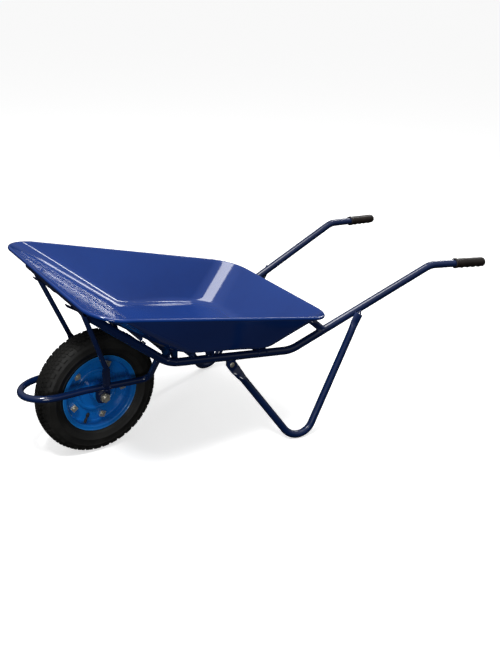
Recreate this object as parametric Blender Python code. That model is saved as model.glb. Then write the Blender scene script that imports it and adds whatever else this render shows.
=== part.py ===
"""Contractor's wheelbarrow: pressed steel tray on a bent tube frame with one pneumatic wheel.

Metres, +Z up.  The wheel is towards -X, the handles towards +X, so a user's left is -Y.
Stations named X are measured from the wheel axle and moved by AXLE_X, which puts the
origin on the floor under the middle of the whole barrow.
"""
import math

import bmesh
import bpy
from mathutils import Matrix, Vector

# ---------------------------------------------------------------- driving dimensions
AXLE_X = -0.5215            # the axle's place along the barrow
GAP = 0.0003                # space left between pieces that touch or are welded

TYRE_R = 0.177              # 3.25/3.00-8 tyre
TYRE_HALF_W = 0.0405
AXLE_Z = TYRE_R
FLANGE_R = 0.1115           # outside of the rim flange
FLANGE_Y = 0.030
RIM_BOLT_R = 0.080
RIM_BOLTS = 5
RIM_BOLT_START = 66.0       # degrees from +X towards +Z
RIM_BOLT_M = 0.010

TUBE_R = 0.012              # main tubes, 24 mm outside
TUBE_WALL = 0.0016
TUBE_Y0 = 0.1425            # half spacing of the main tubes at the axle
TUBE_SPREAD = 0.108         # how fast they spread towards the handles
TUBE_PINCH = 0.055          # how much faster they close in ahead of the front bend
TUBE_LINE = [(-0.1374, 0.5035), (0.1478, 0.2865), (0.5376, 0.2527), (1.0445, 0.4521), (1.2632, 0.4340)]
TUBE_BENDS = [0.0, 0.110, 0.100, 0.085, 0.0]

GRIP_R = 0.0158
GRIP_LENGTH = 0.128

LEG_R = 0.011
LEG_FRONT = (0.3400, 0.2465)         # bolt under the main tube
LEG_CORNER = (0.5349, 0.2742)
LEG_REAR = (0.7600, 0.3320)          # weld on the outside of the main tube
LEG_FLAT = 0.0026                    # half thickness of the pressed front end
LEG_TOP = (0.0135, 0.0062)           # half width and half thickness of the rear end
LUG_HALF = 0.0020
LEG_BEND = 0.054

GUARD_R = 0.0095            # loop that guards the wheel, 19 mm tube
GUARD_Y = 0.0665
GUARD_FRONT = -0.2180
GUARD_NOSE = 0.088
GUARD_Z, GUARD_FALL = 0.2123, 0.060

STAY_R = 0.007
STAY_TOP_Y = 0.168
STAY_KNEE = (-0.0252, 0.1221, 0.296)

NOSE_TUBE_R = 0.011
NOSE_TUBE_HALF = 0.204
NOSE_TUBE_AT = 0.016        # distance from the tubes' front ends, along them

SHEET = 0.0016              # tray thickness
RIM_FRONT = (-0.1490, 0.3425, 0.5450)    # square corners of the walls' top edge
RIM_REAR = (0.6300, 0.2735, 0.3665)
FLOOR_FRONT = (0.1290, 0.2060, 0.3348)   # square corners of the flat floor
FLOOR_REAR = (0.4970, 0.2083, 0.2695)
RIM_CORNER_R = 0.082
FLOOR_CORNER_R = 0.086
FOLD = 0.022                # reach of the rounded fold between floor and walls
BEAD_R = 0.0052

BOLT_R = 0.004              # M8 tray and leg bolts
AXLE_R = 0.008

BLUE = (0.010, 0.030, 0.165)
FRAME_BLUE = (0.006, 0.014, 0.070)
RIM_BLUE = (0.006, 0.105, 0.420)
ZINC = (0.72, 0.69, 0.58)
RUBBER = (0.012, 0.012, 0.011)
STEEL = (0.45, 0.45, 0.45)


# ---------------------------------------------------------------- small helpers
def at(x, y, z):
    return Vector((x + AXLE_X, y, z))


def material(name, color, rough, metal):
    mat = bpy.data.materials.get(name)
    if mat is None:
        mat = bpy.data.materials.new(name)
        mat.use_nodes = True
        shader = mat.node_tree.nodes["Principled BSDF"]
        shader.inputs["Base Color"].default_value = (*color, 1.0)
        shader.inputs["Roughness"].default_value = rough
        shader.inputs["Metallic"].default_value = metal
    return mat


def finish(name, bm, look, origin=None, smooth=True):
    """Turn a bmesh in world coordinates into an object, with its origin where asked."""
    bmesh.ops.recalc_face_normals(bm, faces=bm.faces)
    mesh = bpy.data.meshes.new(name)
    bm.to_mesh(mesh)
    bm.free()
    if smooth:
        mesh.shade_smooth()
        mesh.set_sharp_from_angle(angle=math.radians(35))
    obj = bpy.data.objects.new(name, mesh)
    bpy.context.collection.objects.link(obj)
    if look is not None:
        mesh.materials.append(material(*look))
    if origin is not None:
        mesh.transform(Matrix.Translation(-origin))
        obj.location = origin
    return obj


def cutter(name, bm):
    obj = finish(name, bm, None, smooth=False)
    obj.hide_render = True
    obj.display_type = 'WIRE'
    return obj


def cut(obj, tool):
    mod = obj.modifiers.new("cut_" + tool.name, 'BOOLEAN')
    mod.operation = 'DIFFERENCE'
    mod.object = tool
    return obj


def under(obj, parent):
    obj.parent = parent
    obj.matrix_parent_inverse = Matrix.Translation(-parent.location)
    return obj


def mirrored(points):
    return [Vector((p.x, -p.y, p.z)) for p in points]


def corner_arc(before, here, after, radius, steps):
    """Points of the arc that rounds one corner."""
    a = (before - here).normalized()
    b = (after - here).normalized()
    half = math.acos(max(-1.0, min(1.0, a.dot(b)))) / 2
    reach = radius / math.tan(half)
    centre = here + (a + b).normalized() * (radius / math.sin(half))
    start = here + a * reach - centre
    stop = here + b * reach - centre
    angle = start.angle(stop)
    out = []
    for i in range(steps + 1):
        t = i / steps
        out.append(centre + (start * math.sin((1 - t) * angle) + stop * math.sin(t * angle)) / math.sin(angle))
    return out


def rounded(points, radii, steps=6):
    """An open line through the points, its inner corners rounded."""
    out = [points[0].copy()]
    for i in range(1, len(points) - 1):
        out += corner_arc(points[i - 1], points[i], points[i + 1], radii[i], steps)
    out.append(points[-1].copy())
    return out


def rounded_ring(points, radius, steps=6):
    """A closed ring through the points, every corner rounded."""
    out = []
    count = len(points)
    for i in range(count):
        out += corner_arc(points[i - 1], points[i], points[(i + 1) % count], radius, steps)
    return out


def bridge(bm, one, two):
    count = len(one)
    for i in range(count):
        j = (i + 1) % count
        bm.faces.new((one[i], one[j], two[j], two[i]))


def sweep(path, across, sides, size, wall=0.0):
    """Sweep an oval section along a path.

    across is a first guess for the section's width direction.  size(i) gives the half
    width and half thickness at point i.  A wall makes the section a hollow tube, open at
    both ends.
    """
    bm = bmesh.new()
    count = len(path)
    tangents = []
    for i in range(count):
        before = path[max(i - 1, 0)]
        after = path[min(i + 1, count - 1)]
        tangents.append((after - before).normalized())
    side = (across - tangents[0] * across.dot(tangents[0])).normalized()
    skins = []
    for inset in ((0.0, wall) if wall else (0.0,)):
        rings = []
        width = side.copy()
        for i in range(count):
            width = (width - tangents[i] * width.dot(tangents[i])).normalized()
            depth = tangents[i].cross(width)
            a, b = size(i)
            ring = []
            for k in range(sides):
                angle = 2 * math.pi * (k + 0.5) / sides
                offset = width * (math.cos(angle) * (a - inset)) + depth * (math.sin(angle) * (b - inset))
                ring.append(bm.verts.new(path[i] + offset))
            rings.append(ring)
        for one, two in zip(rings[:-1], rings[1:]):
            bridge(bm, one, two)
        skins.append(rings)
    if wall:
        bridge(bm, skins[0][0], skins[1][0])
        bridge(bm, skins[0][-1], skins[1][-1])
    else:
        bm.faces.new(skins[0][0])
        bm.faces.new(skins[0][-1])
    return bm


def even(radius):
    """Section size for a plain tube whose flats sit inside the true circle."""
    return lambda i: (radius, radius)


def rod_between(a, b, radius, sides=12):
    direction = (b - a).normalized()
    guess = Vector((0, 0, 1)) if abs(direction.z) < 0.9 else Vector((1, 0, 0))
    return sweep([a, b], guess, sides, even(radius))


def turned(profile, sides, centre, axis='Y', close=True):
    """Spin a closed outline of (radius, along) points about an axis through centre."""
    bm = bmesh.new()
    rings = []
    for k in range(sides):
        angle = 2 * math.pi * k / sides
        ring = []
        for radius, along in profile:
            c, s = math.cos(angle) * radius, math.sin(angle) * radius
            ring.append(bm.verts.new(centre + Vector((c, along, s))))
        rings.append(ring)
    count = len(profile)
    for k in range(sides):
        one, two = rings[k], rings[(k + 1) % sides]
        for i in range(count if close else count - 1):
            j = (i + 1) % count
            bm.faces.new((one[i], one[j], two[j], two[i]))
    return bm


def prism(centre, axis, radius, height, sides, spin=0.0, bore=0.0):
    """A nut or head: a prism along axis, standing on centre, with an optional round bore."""
    axis = axis.normalized()
    guess = Vector((0, 0, 1)) if abs(axis.z) < 0.9 else Vector((1, 0, 0))
    u = (guess - axis * guess.dot(axis)).normalized()
    v = axis.cross(u)
    bm = bmesh.new()

    def ring(r, n, h, turn):
        out = []
        for k in range(n):
            angle = turn + 2 * math.pi * k / n
            out.append(bm.verts.new(centre + u * (math.cos(angle) * r) + v * (math.sin(angle) * r) + axis * h))
        return out

    low = ring(radius, sides, 0.0, spin)
    high = ring(radius, sides, height, spin)
    bridge(bm, low, high)
    if bore:
        bore /= math.cos(math.pi / (2 * sides))
        low_in = ring(bore, sides * 2, 0.0, spin)
        high_in = ring(bore, sides * 2, height, spin)
        bridge(bm, low_in, high_in)
        for outer, inner in ((low, low_in), (high, high_in)):
            n = len(inner)
            for k in range(sides):
                a, b = outer[k], outer[(k + 1) % sides]
                c, d, e = inner[2 * k], inner[2 * k + 1], inner[(2 * k + 2) % n]
                bm.faces.new((a, c, d))
                bm.faces.new((a, d, b))
                bm.faces.new((b, d, e))
    else:
        bm.faces.new(low)
        bm.faces.new(high)
    return bm


def stack(centre, axis, steps, sides=12):
    """A solid of round steps along an axis: a list of (radius, height) outline points."""
    axis = axis.normalized()
    guess = Vector((0, 0, 1)) if abs(axis.z) < 0.9 else Vector((1, 0, 0))
    u = (guess - axis * guess.dot(axis)).normalized()
    v = axis.cross(u)
    bm = bmesh.new()
    rings = []
    for radius, height in steps:
        ring = []
        for k in range(sides):
            angle = 2 * math.pi * (k + 0.5) / sides
            offset = u * (math.cos(angle) * radius) + v * (math.sin(angle) * radius)
            ring.append(bm.verts.new(centre + offset + axis * height))
        rings.append(ring)
    for one, two in zip(rings[:-1], rings[1:]):
        bridge(bm, one, two)
    bm.faces.new(rings[0])
    bm.faces.new(rings[-1])
    return bm


# ---------------------------------------------------------------- looks
ENAMEL = ("tray_enamel", BLUE, 0.16, 0.0)
FRAME_ENAMEL = ("frame_enamel", FRAME_BLUE, 0.22, 0.0)
WHEEL_ENAMEL = ("wheel_enamel", RIM_BLUE, 0.28, 0.0)
PLATED = ("zinc_plate", ZINC, 0.35, 0.9)
BLACK_RUBBER = ("tyre_rubber", RUBBER, 0.72, 0.0)
GRIP_RUBBER = ("grip_rubber", (0.020, 0.017, 0.015), 0.6, 0.0)
BRIGHT = ("bearing_steel", STEEL, 0.3, 1.0)


# ---------------------------------------------------------------- frame geometry
def tube_y(x):
    """Distance of a main tube's centre line from the middle of the barrow."""
    return TUBE_Y0 + TUBE_SPREAD * x - TUBE_PINCH * max(0.0, TUBE_LINE[1][0] - x)


def tube_point(x, z):
    return at(x, tube_y(x), z)


FRONT_A = Vector((TUBE_LINE[0][0], 0, TUBE_LINE[0][1]))
FRONT_B = Vector((TUBE_LINE[1][0], 0, TUBE_LINE[1][1]))
RUN = (FRONT_B - FRONT_A).normalized()             # down the front run of the tubes
OFF = Vector((-RUN.z, 0, RUN.x))                   # square to it, towards the tray

# the nose of the tray: the plane of its front wall
WALL = (Vector(RIM_FRONT) - Vector(FLOOR_FRONT))
WALL.y = 0
WALL.normalize()
WALL_OUT = Vector((-WALL.z, 0, WALL.x))            # out of the tray, down and forward
if WALL_OUT.z > 0:
    WALL_OUT = -WALL_OUT


def nose_tube_axis():
    """The cross tube lies under the front wall, near the main tubes' front ends."""
    start = FRONT_A + RUN * NOSE_TUBE_AT
    foot = Vector((FLOOR_FRONT[0], 0, FLOOR_FRONT[2]))
    depth = (start - foot).dot(WALL_OUT)
    want = SHEET + GAP + NOSE_TUBE_R
    return start - WALL_OUT * (depth - want)


NOSE_AXIS = nose_tube_axis()
TAB_HALF = 0.0024


def main_path():
    """Centre line of the right main tube, with its flattened front end under the nose tube."""
    below = NOSE_AXIS + WALL_OUT * (NOSE_TUBE_R + GAP + TAB_HALF)
    tip = below - RUN * 0.007 + WALL_OUT * 0.003
    flat_end = below + RUN * 0.022
    full = FRONT_A + RUN * 0.088
    pts = [tip, flat_end, full]
    line = [FRONT_A + RUN * 0.088] + [Vector((x, 0, z)) for x, z in TUBE_LINE[1:]]
    curve = rounded(line, TUBE_BENDS, 6)
    flat = pts[:2] + [flat_end.lerp(full, 0.5)] + curve
    return [tube_point(p.x, p.z) for p in flat]


def main_size(i):
    if i <= 1:
        return (0.0172, TAB_HALF)
    if i == 2:
        return (0.0152, 0.0078)
    return (TUBE_R, TUBE_R)


def tube_cutter(name, side):
    """A slightly larger solid copy of a main tube, to cope whatever meets it."""
    line = [FRONT_A] + [Vector((x, 0, z)) for x, z in TUBE_LINE[1:]]
    curve = rounded(line, TUBE_BENDS, 6)
    pts = [tube_point(p.x, p.z) for p in curve]
    if side < 0:
        pts = mirrored(pts)
    return cutter(name, sweep(pts, Vector((0, 1, 0)), 12, even(TUBE_R + GAP)))


def make_main_tube(name, side):
    pts = main_path()
    if side < 0:
        pts = mirrored(pts)
    bm = sweep(pts, Vector((0, 1, 0)), 12, main_size, TUBE_WALL)
    return finish(name, bm, FRAME_ENAMEL)


def make_nose_tube():
    ends = [at(NOSE_AXIS.x, y, NOSE_AXIS.z) for y in (-NOSE_TUBE_HALF, NOSE_TUBE_HALF)]
    bm = sweep(ends, Vector((1, 0, 0)), 12, even(NOSE_TUBE_R), TUBE_WALL)
    return finish("nose_tube", bm, FRAME_ENAMEL)


# ---------------------------------------------------------------- tray
def tray_corners(front, rear):
    return [at(front[0], -front[1], front[2]), at(rear[0], -rear[1], rear[2]),
            at(rear[0], rear[1], rear[2]), at(front[0], front[1], front[2])]


def floor_z(x):
    """Height of the floor's upper face at a station."""
    rise = (FLOOR_REAR[2] - FLOOR_FRONT[2]) / (FLOOR_REAR[0] - FLOOR_FRONT[0])
    return FLOOR_FRONT[2] + rise * (x - FLOOR_FRONT[0])


FLOOR_RISE = (FLOOR_REAR[2] - FLOOR_FRONT[2]) / (FLOOR_REAR[0] - FLOOR_FRONT[0])
FLOOR_UP = Vector((-FLOOR_RISE, 0, 1)).normalized()


def make_tray():
    """Pan: floor, rounded folds, flared walls and a rolled rim, all one sheet."""
    fold = rounded_ring(tray_corners(FLOOR_FRONT, FLOOR_REAR), FLOOR_CORNER_R)
    rim = rounded_ring(tray_corners(RIM_FRONT, RIM_REAR), RIM_CORNER_R)
    count = len(fold)
    outs = []
    for i in range(count):
        ahead = rim[(i + 1) % count] - rim[i - 1]
        outs.append(Vector((ahead.y, -ahead.x, 0)).normalized())
    middle = sum(fold, Vector()) / count
    if (rim[0] - middle).dot(outs[0]) < 0:
        outs = [-o for o in outs]
    bm = bmesh.new()
    rings = []
    # floor edge and fold: a quadratic curve from the floor to the wall
    walls = []
    for i in range(count):
        up_wall = (rim[i] - fold[i]).normalized()
        walls.append(up_wall)
    for s in (0.0, 0.33, 0.67, 1.0):
        ring = []
        for i in range(count):
            inward = middle - fold[i]
            flat = (inward - FLOOR_UP * inward.dot(FLOOR_UP)).normalized()
            a = fold[i] + flat * FOLD
            w = fold[i] + walls[i] * FOLD
            p = a * (1 - s) ** 2 + fold[i] * (2 * s * (1 - s)) + w * s ** 2
            ring.append(bm.verts.new(p))
        rings.append(ring)
    # rolled rim: the sheet runs up the inside, over the top and under
    steps = 8
    for k in range(steps + 1):
        ring = []
        for i in range(count):
            out = outs[i]
            lift = math.atan2(walls[i].z, walls[i].dot(out))
            start = math.pi / 2 + lift
            angle = start + (math.radians(-115) - start) * k / steps
            centre = rim[i] - (out * math.cos(start) + Vector((0, 0, math.sin(start)))) * BEAD_R
            ring.append(bm.verts.new(centre + (out * math.cos(angle) + Vector((0, 0, math.sin(angle)))) * BEAD_R))
        rings.append(ring)
    bm.faces.new(rings[0])
    for one, two in zip(rings[:-1], rings[1:]):
        bridge(bm, one, two)
    bmesh.ops.recalc_face_normals(bm, faces=bm.faces)
    floor_face = max(bm.faces, key=lambda f: f.calc_area())
    if floor_face.normal.z < 0:
        bmesh.ops.reverse_faces(bm, faces=bm.faces)
    mesh = bpy.data.meshes.new("tray")
    bm.to_mesh(mesh)
    bm.free()
    mesh.shade_smooth()
    mesh.set_sharp_from_angle(angle=math.radians(35))
    mesh.materials.append(material(*ENAMEL))
    obj = bpy.data.objects.new("tray", mesh)
    bpy.context.collection.objects.link(obj)
    solid = obj.modifiers.new("sheet", 'SOLIDIFY')
    solid.thickness = SHEET
    solid.offset = -1.0
    solid.use_even_offset = True
    return obj


# ---------------------------------------------------------------- cross members
def channel(name, x_from, x_to, half, sheet, drop, middle):
    """A folded channel, open downwards, under the tray floor, shallower in its middle."""
    bm = bmesh.new()
    under_floor = -(SHEET / FLOOR_UP.z + GAP)

    def outline(y, drop):
        top_a = at(x_from, y, floor_z(x_from) + under_floor)
        top_b = at(x_to, y, floor_z(x_to) + under_floor)
        along = (top_b - top_a).normalized()
        down = Vector((0, 0, -1))
        low_a = at(x_from, y, floor_z(x_from) + under_floor - drop)
        low_b = at(x_to, y, floor_z(x_to) + under_floor - drop)
        in_a = top_a + along * sheet + down * sheet
        in_b = top_b - along * sheet + down * sheet
        low_in_a = low_a + Vector((sheet, 0, 0))
        low_in_b = low_b - Vector((sheet, 0, 0))
        return [low_a, top_a, top_b, low_b, low_in_b, in_b, in_a, low_in_a]

    deep, shallow = half - 0.030, half - 0.050
    rings = []
    for y, depth in ((-half, drop), (-deep, drop), (-shallow, middle),
                     (shallow, middle), (deep, drop), (half, drop)):
        rings.append([bm.verts.new(p) for p in outline(y, depth)])
    for one, two in zip(rings[:-1], rings[1:]):
        bridge(bm, one, two)
    bm.faces.new(rings[0])
    bm.faces.new(rings[-1])
    return finish(name, bm, FRAME_ENAMEL, smooth=False)


def make_mid_cross_tube():
    x = 0.270
    tube_top = FRONT_B.z + (x - FRONT_B.x) * (TUBE_LINE[2][1] - FRONT_B.z) / (TUBE_LINE[2][0] - FRONT_B.x) + TUBE_R
    floor_under = floor_z(x) - SHEET / FLOOR_UP.z
    radius = (floor_under - tube_top) / 2 - 0.0006
    z = (floor_under + tube_top) / 2
    ends = [at(x, y, z) for y in (-0.186, 0.186)]
    bm = sweep(ends, Vector((1, 0, 0)), 12, even(radius), TUBE_WALL)
    return finish("mid_cross_tube", bm, FRAME_ENAMEL)


def make_cross_rod():
    """Round bar set down between the main tubes, ahead of the middle cross tube."""
    x = 0.216
    z = FRONT_B.z + (x - FRONT_B.x) * (TUBE_LINE[2][1] - FRONT_B.z) / (TUBE_LINE[2][0] - FRONT_B.x)
    top = z + TUBE_R + 0.0045
    bm = rod_between(at(x, -tube_y(x) - 0.004, top), at(x, tube_y(x) + 0.004, top), 0.0075, 10)
    return finish("cross_rod", bm, FRAME_ENAMEL)


def make_upper_cross_rod():
    """Round bar between the front wall and the front run of the main tubes."""
    run_at = FRONT_A + RUN * ((0.055 - FRONT_A.x) / RUN.x)
    foot = Vector((FLOOR_FRONT[0], 0, FLOOR_FRONT[2]))
    room = (run_at - foot).dot(WALL_OUT) - SHEET - TUBE_R
    centre = run_at - WALL_OUT * (TUBE_R + room / 2)
    half = tube_y(0.055) + 0.004
    bm = rod_between(at(centre.x, -half, centre.z), at(centre.x, half, centre.z), room / 2 - 0.0006, 10)
    return finish("upper_cross_rod", bm, FRAME_ENAMEL)


def make_rear_support():
    """A bent tube from side to side that holds up the tray's rear wall."""
    radius = 0.011
    back = Vector(RIM_REAR) - Vector(FLOOR_REAR)
    back.y = 0
    back.normalize()
    out = Vector((back.z, 0, -back.x))
    touch = Vector((FLOOR_REAR[0], 0, FLOOR_REAR[2])) + back * 0.128
    rail = touch + out * (SHEET + 2 * GAP + radius)
    foot_x = 0.650
    foot_z = TUBE_LINE[2][1] + (foot_x - TUBE_LINE[2][0]) * 0.3934
    pts = [at(foot_x, -tube_y(foot_x), foot_z), at(rail.x, -0.203, rail.z),
           at(rail.x, 0.203, rail.z), at(foot_x, tube_y(foot_x), foot_z)]
    line = rounded(pts, [0, 0.024, 0.024, 0], 5)
    return finish("rear_tray_support", sweep(line, Vector((1, 0, 0)), 10, even(radius), TUBE_WALL), FRAME_ENAMEL)


# ---------------------------------------------------------------- wheel guard, stays and brackets
def guard_z(x):
    return GUARD_Z - GUARD_FALL * max(x, -0.060)


def guard_path():
    """From the right main tube, forward along the right arm, round the nose and back."""
    arm_end = at(0.133, GUARD_Y, guard_z(0.133))
    x_top = 0.118
    z_top = FRONT_A.z + (x_top - FRONT_A.x) * RUN.z / RUN.x
    top = at(x_top, tube_y(x_top), z_top)
    nose = []
    steps = 12
    for k in range(1, steps):
        angle = math.pi * k / steps
        x = GUARD_FRONT + GUARD_NOSE - GUARD_NOSE * math.sin(angle)
        nose.append(at(x, GUARD_Y * math.cos(angle), guard_z(x)))
    middle = at(-0.060, GUARD_Y, guard_z(-0.060))
    right = corner_arc(top, arm_end, middle, 0.024, 4)
    left = [Vector((p.x, -p.y, p.z)) for p in reversed(right)]
    return [top] + right + [middle] + nose + mirrored([middle]) + left + mirrored([top])


def make_guard():
    path = guard_path()
    bm = sweep(path, Vector((1, 0, 0)), 10, even(GUARD_R), TUBE_WALL)
    return finish("wheel_guard", bm, FRAME_ENAMEL)


def stay_path():
    low = at(0.0, GUARD_Y + 0.004, guard_z(0.0) + 0.002)
    knee = at(*STAY_KNEE)
    high = at(NOSE_AXIS.x, STAY_TOP_Y, NOSE_AXIS.z)
    return [low] + corner_arc(low, knee, high, 0.060, 4) + [high]


def make_stay(name, side):
    """Round bar bent in at its knee and pressed wider where it meets the wheel guard."""
    path = stay_path()
    last = len(path) - 1
    if side < 0:
        path = mirrored(path)

    def size(i):
        spread = max(0.0, 1.0 - i / 4.0) if i < last else 0.0
        return (STAY_R + 0.0048 * spread, STAY_R - 0.0022 * spread)

    bm = sweep(path, Vector((1, 0, 0)), 12, size)
    return finish(name, bm, FRAME_ENAMEL)


BRACKET_IN, BRACKET_OUT = 0.0518, 0.0566


def make_bracket(name, side):
    """Plate on the inside of the guard's arm that carries the axle."""
    bm = bmesh.new()
    outline = []
    top = guard_z(0.0) + 0.006
    half = 0.022
    for x, z in ((half, top), (-half, top), (-half, AXLE_Z + 0.003)):
        outline.append((x - 0.003, z))
    for k in range(1, 8):
        angle = math.pi + math.pi * k / 8
        outline.append((half * math.cos(angle) - 0.003, AXLE_Z + 0.003 + half * math.sin(angle)))
    outline.append((half - 0.003, AXLE_Z + 0.003))
    near = [bm.verts.new(at(x, side * BRACKET_IN, z)) for x, z in outline]
    far = [bm.verts.new(at(x, side * BRACKET_OUT, z)) for x, z in outline]
    bridge(bm, near, far)
    bm.faces.new(near)
    bm.faces.new(far)
    obj = finish(name, bm, FRAME_ENAMEL, smooth=False)
    hole = cutter("cut_" + name, rod_between(at(0, side * 0.045, AXLE_Z), at(0, side * 0.065, AXLE_Z),
                                             AXLE_R + 2 * GAP, 16))
    return cut(obj, hole)


# ---------------------------------------------------------------- legs
def leg_path():
    """V of tube: bolted to the main tube in front, welded to it behind, foot on the floor."""
    front = Vector((LEG_FRONT[0], tube_y(LEG_FRONT[0]) + LUG_HALF + GAP + LEG_FLAT, LEG_FRONT[1]))
    rear = Vector((LEG_REAR[0], tube_y(LEG_REAR[0]) + TUBE_R + 2 * GAP + LEG_TOP[1], LEG_REAR[1]))
    foot = Vector((*LEG_CORNER, 0.0))
    for _ in range(12):
        line = rounded([front, foot, rear], [0, LEG_BEND, 0], 8)
        foot.z += LEG_R + 0.0002 - min(p.z for p in line)
    ends = []
    for end, above, below in ((front, 0.013, 0.018), (rear, 0.007, 0.022)):
        axis = (foot - end).normalized()
        flat = Vector((axis.x, 0, axis.z)).normalized()
        round_at = end + axis * (below + 0.042)
        low = end + flat * below
        ends.append([end - flat * above, low, low.lerp(round_at, 0.5), round_at])
    line = rounded([ends[0][3], foot, ends[1][3]], [0, LEG_BEND, 0], 7)
    path = ends[0][:3] + line + list(reversed(ends[1][:3]))
    return [at(*p) for p in path]


def leg_size(i, last):
    if i <= 1:
        return (0.0155, LEG_FLAT)
    if i == 2:
        return (0.0135, 0.0070)
    if i >= last - 1:
        return LEG_TOP
    return (LEG_R, LEG_R)


def make_leg(name, side):
    path = leg_path()
    across = (path[3] - path[0]).cross(Vector((0, 1, 0)))
    if side < 0:
        path = mirrored(path)
        across = Vector((across.x, -across.y, across.z))
    last = len(path) - 1
    bm = sweep(path, across, 10, lambda i: leg_size(i, last), TUBE_WALL)
    return finish(name, bm, FRAME_ENAMEL)


def make_leg_lug(name, side):
    """Plate under a main tube that the leg's front end is bolted to."""
    x, z = LEG_FRONT
    top = z + 0.024
    outline = [(x - 0.016, top), (x + 0.016, top), (x + 0.016, z - 0.002), (x + 0.007, z - 0.012),
               (x - 0.007, z - 0.012), (x - 0.016, z - 0.002)]
    bm = bmesh.new()
    near = [bm.verts.new(at(px, side * (tube_y(x) - LUG_HALF), pz)) for px, pz in outline]
    far = [bm.verts.new(at(px, side * (tube_y(x) + LUG_HALF), pz)) for px, pz in outline]
    bridge(bm, near, far)
    bm.faces.new(near)
    bm.faces.new(far)
    return finish(name, bm, FRAME_ENAMEL, smooth=False)


# ---------------------------------------------------------------- grips
def make_grip(name, side):
    """Moulded grip over the end of a main tube, closed at the back, ribbed underneath."""
    end_x, end_z = TUBE_LINE[-1]
    prev_x, prev_z = TUBE_LINE[-2]
    end = tube_point(end_x, end_z)
    back = (end - tube_point(prev_x, prev_z)).normalized()
    start = end - back * (GRIP_LENGTH - 0.007)
    if side < 0:
        end, start = mirrored([end, start])
        back = Vector((back.x, -back.y, back.z))
    bore = TUBE_R + GAP
    length = GRIP_LENGTH
    outline = [(bore, 0.0), (GRIP_R + 0.0008, 0.0), (GRIP_R + 0.0008, 0.006), (GRIP_R - 0.0012, 0.011)]
    waves = 4
    for k in range(waves * 2 + 1):
        swell = 0.0006 if k % 2 else -0.0006
        outline.append((GRIP_R + swell, 0.018 + (length - 0.040) * k / (waves * 2)))
    outline += [(GRIP_R * 0.93, length - 0.008), (GRIP_R * 0.62, length - 0.001), (0.0001, length)]
    inner = [(0.0001, length - 0.0065), (bore, length - 0.0065)]
    axis = back
    guess = Vector((0, 0, 1))
    u = (guess - axis * guess.dot(axis)).normalized()
    v = axis.cross(u)
    bm = bmesh.new()
    sides = 16
    rings = []
    for radius, along in outline + inner:
        if radius < 0.001:
            rings.append([bm.verts.new(start + axis * along)])
            continue
        ring = []
        for k in range(sides):
            angle = 2 * math.pi * (k + 0.5) / sides
            ring.append(bm.verts.new(start + axis * along + u * (math.cos(angle) * radius)
                                     + v * (math.sin(angle) * radius)))
        rings.append(ring)
    order = rings + [rings[0]]
    for one, two in zip(order[:-1], order[1:]):
        if len(one) == 1 and len(two) == 1:
            continue
        if len(one) == 1 or len(two) == 1:
            tip = one[0] if len(one) == 1 else two[0]
            ring = two if len(one) == 1 else one
            for k in range(sides):
                bm.faces.new((ring[k], ring[(k + 1) % sides], tip))
        else:
            bridge(bm, one, two)
    return finish(name, bm, GRIP_RUBBER)


# ---------------------------------------------------------------- fasteners
def make_bolt(name, seat, axis, length, look=PLATED):
    """Round-headed bolt: seat is under the head and axis points along the shank."""
    steps = [(0.0040, -0.0030), (0.0066, -0.0022), (0.0078, -0.0010), (0.0078, -GAP), (BOLT_R, -GAP),
             (BOLT_R, length)]
    return finish(name, stack(seat, axis, steps, 12), look)


def make_stud(name, seat, axis, top, length, look=PLATED):
    """Plain stud, welded to the underside of a sheet: top is how far its end lies under seat."""
    return finish(name, stack(seat, axis, [(BOLT_R, top), (BOLT_R, length)], 12), look)


def make_hex_nut(name, base, axis, flats, height, bore, look=PLATED):
    radius = flats / 2 / math.cos(math.pi / 6)
    return finish(name, prism(base, axis, radius, height, 6, 0.0, bore + GAP), look, smooth=False)


# ---------------------------------------------------------------- wheel
WHEEL_CENTRE = at(0, 0, AXLE_Z)


def make_tyre():
    """Casing open between its beads, with a shouldered tread band."""
    r, w = TYRE_R, TYRE_HALF_W
    outside = [(r, 0.0), (r - 0.0012, w * 0.42), (r - 0.0055, w * 0.74), (r - 0.0145, w * 0.93),
               (r - 0.032, w), (r - 0.050, w * 0.94),
               (FLANGE_R + 0.0015, FLANGE_Y - 0.0030), (FLANGE_R - 0.0035, FLANGE_Y - 0.0032),
               (0.1034, FLANGE_Y - 0.0038), (0.1014, FLANGE_Y - 0.0060)]
    inside = [(0.1014, FLANGE_Y - 0.0130), (FLANGE_R + 0.002, FLANGE_Y - 0.0085),
              (r - 0.047, w * 0.83), (r - 0.032, w * 0.86), (r - 0.0165, w * 0.62), (r - 0.011, 0.0)]
    half = outside + inside
    other = [(a, -b) for a, b in reversed(half[1:-1])]
    obj = finish("tyre", turned(half + other, 36, WHEEL_CENTRE), BLACK_RUBBER, WHEEL_CENTRE)
    return obj


TUBE_MID_R, TUBE_MID = 0.1335, 0.0265


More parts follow.
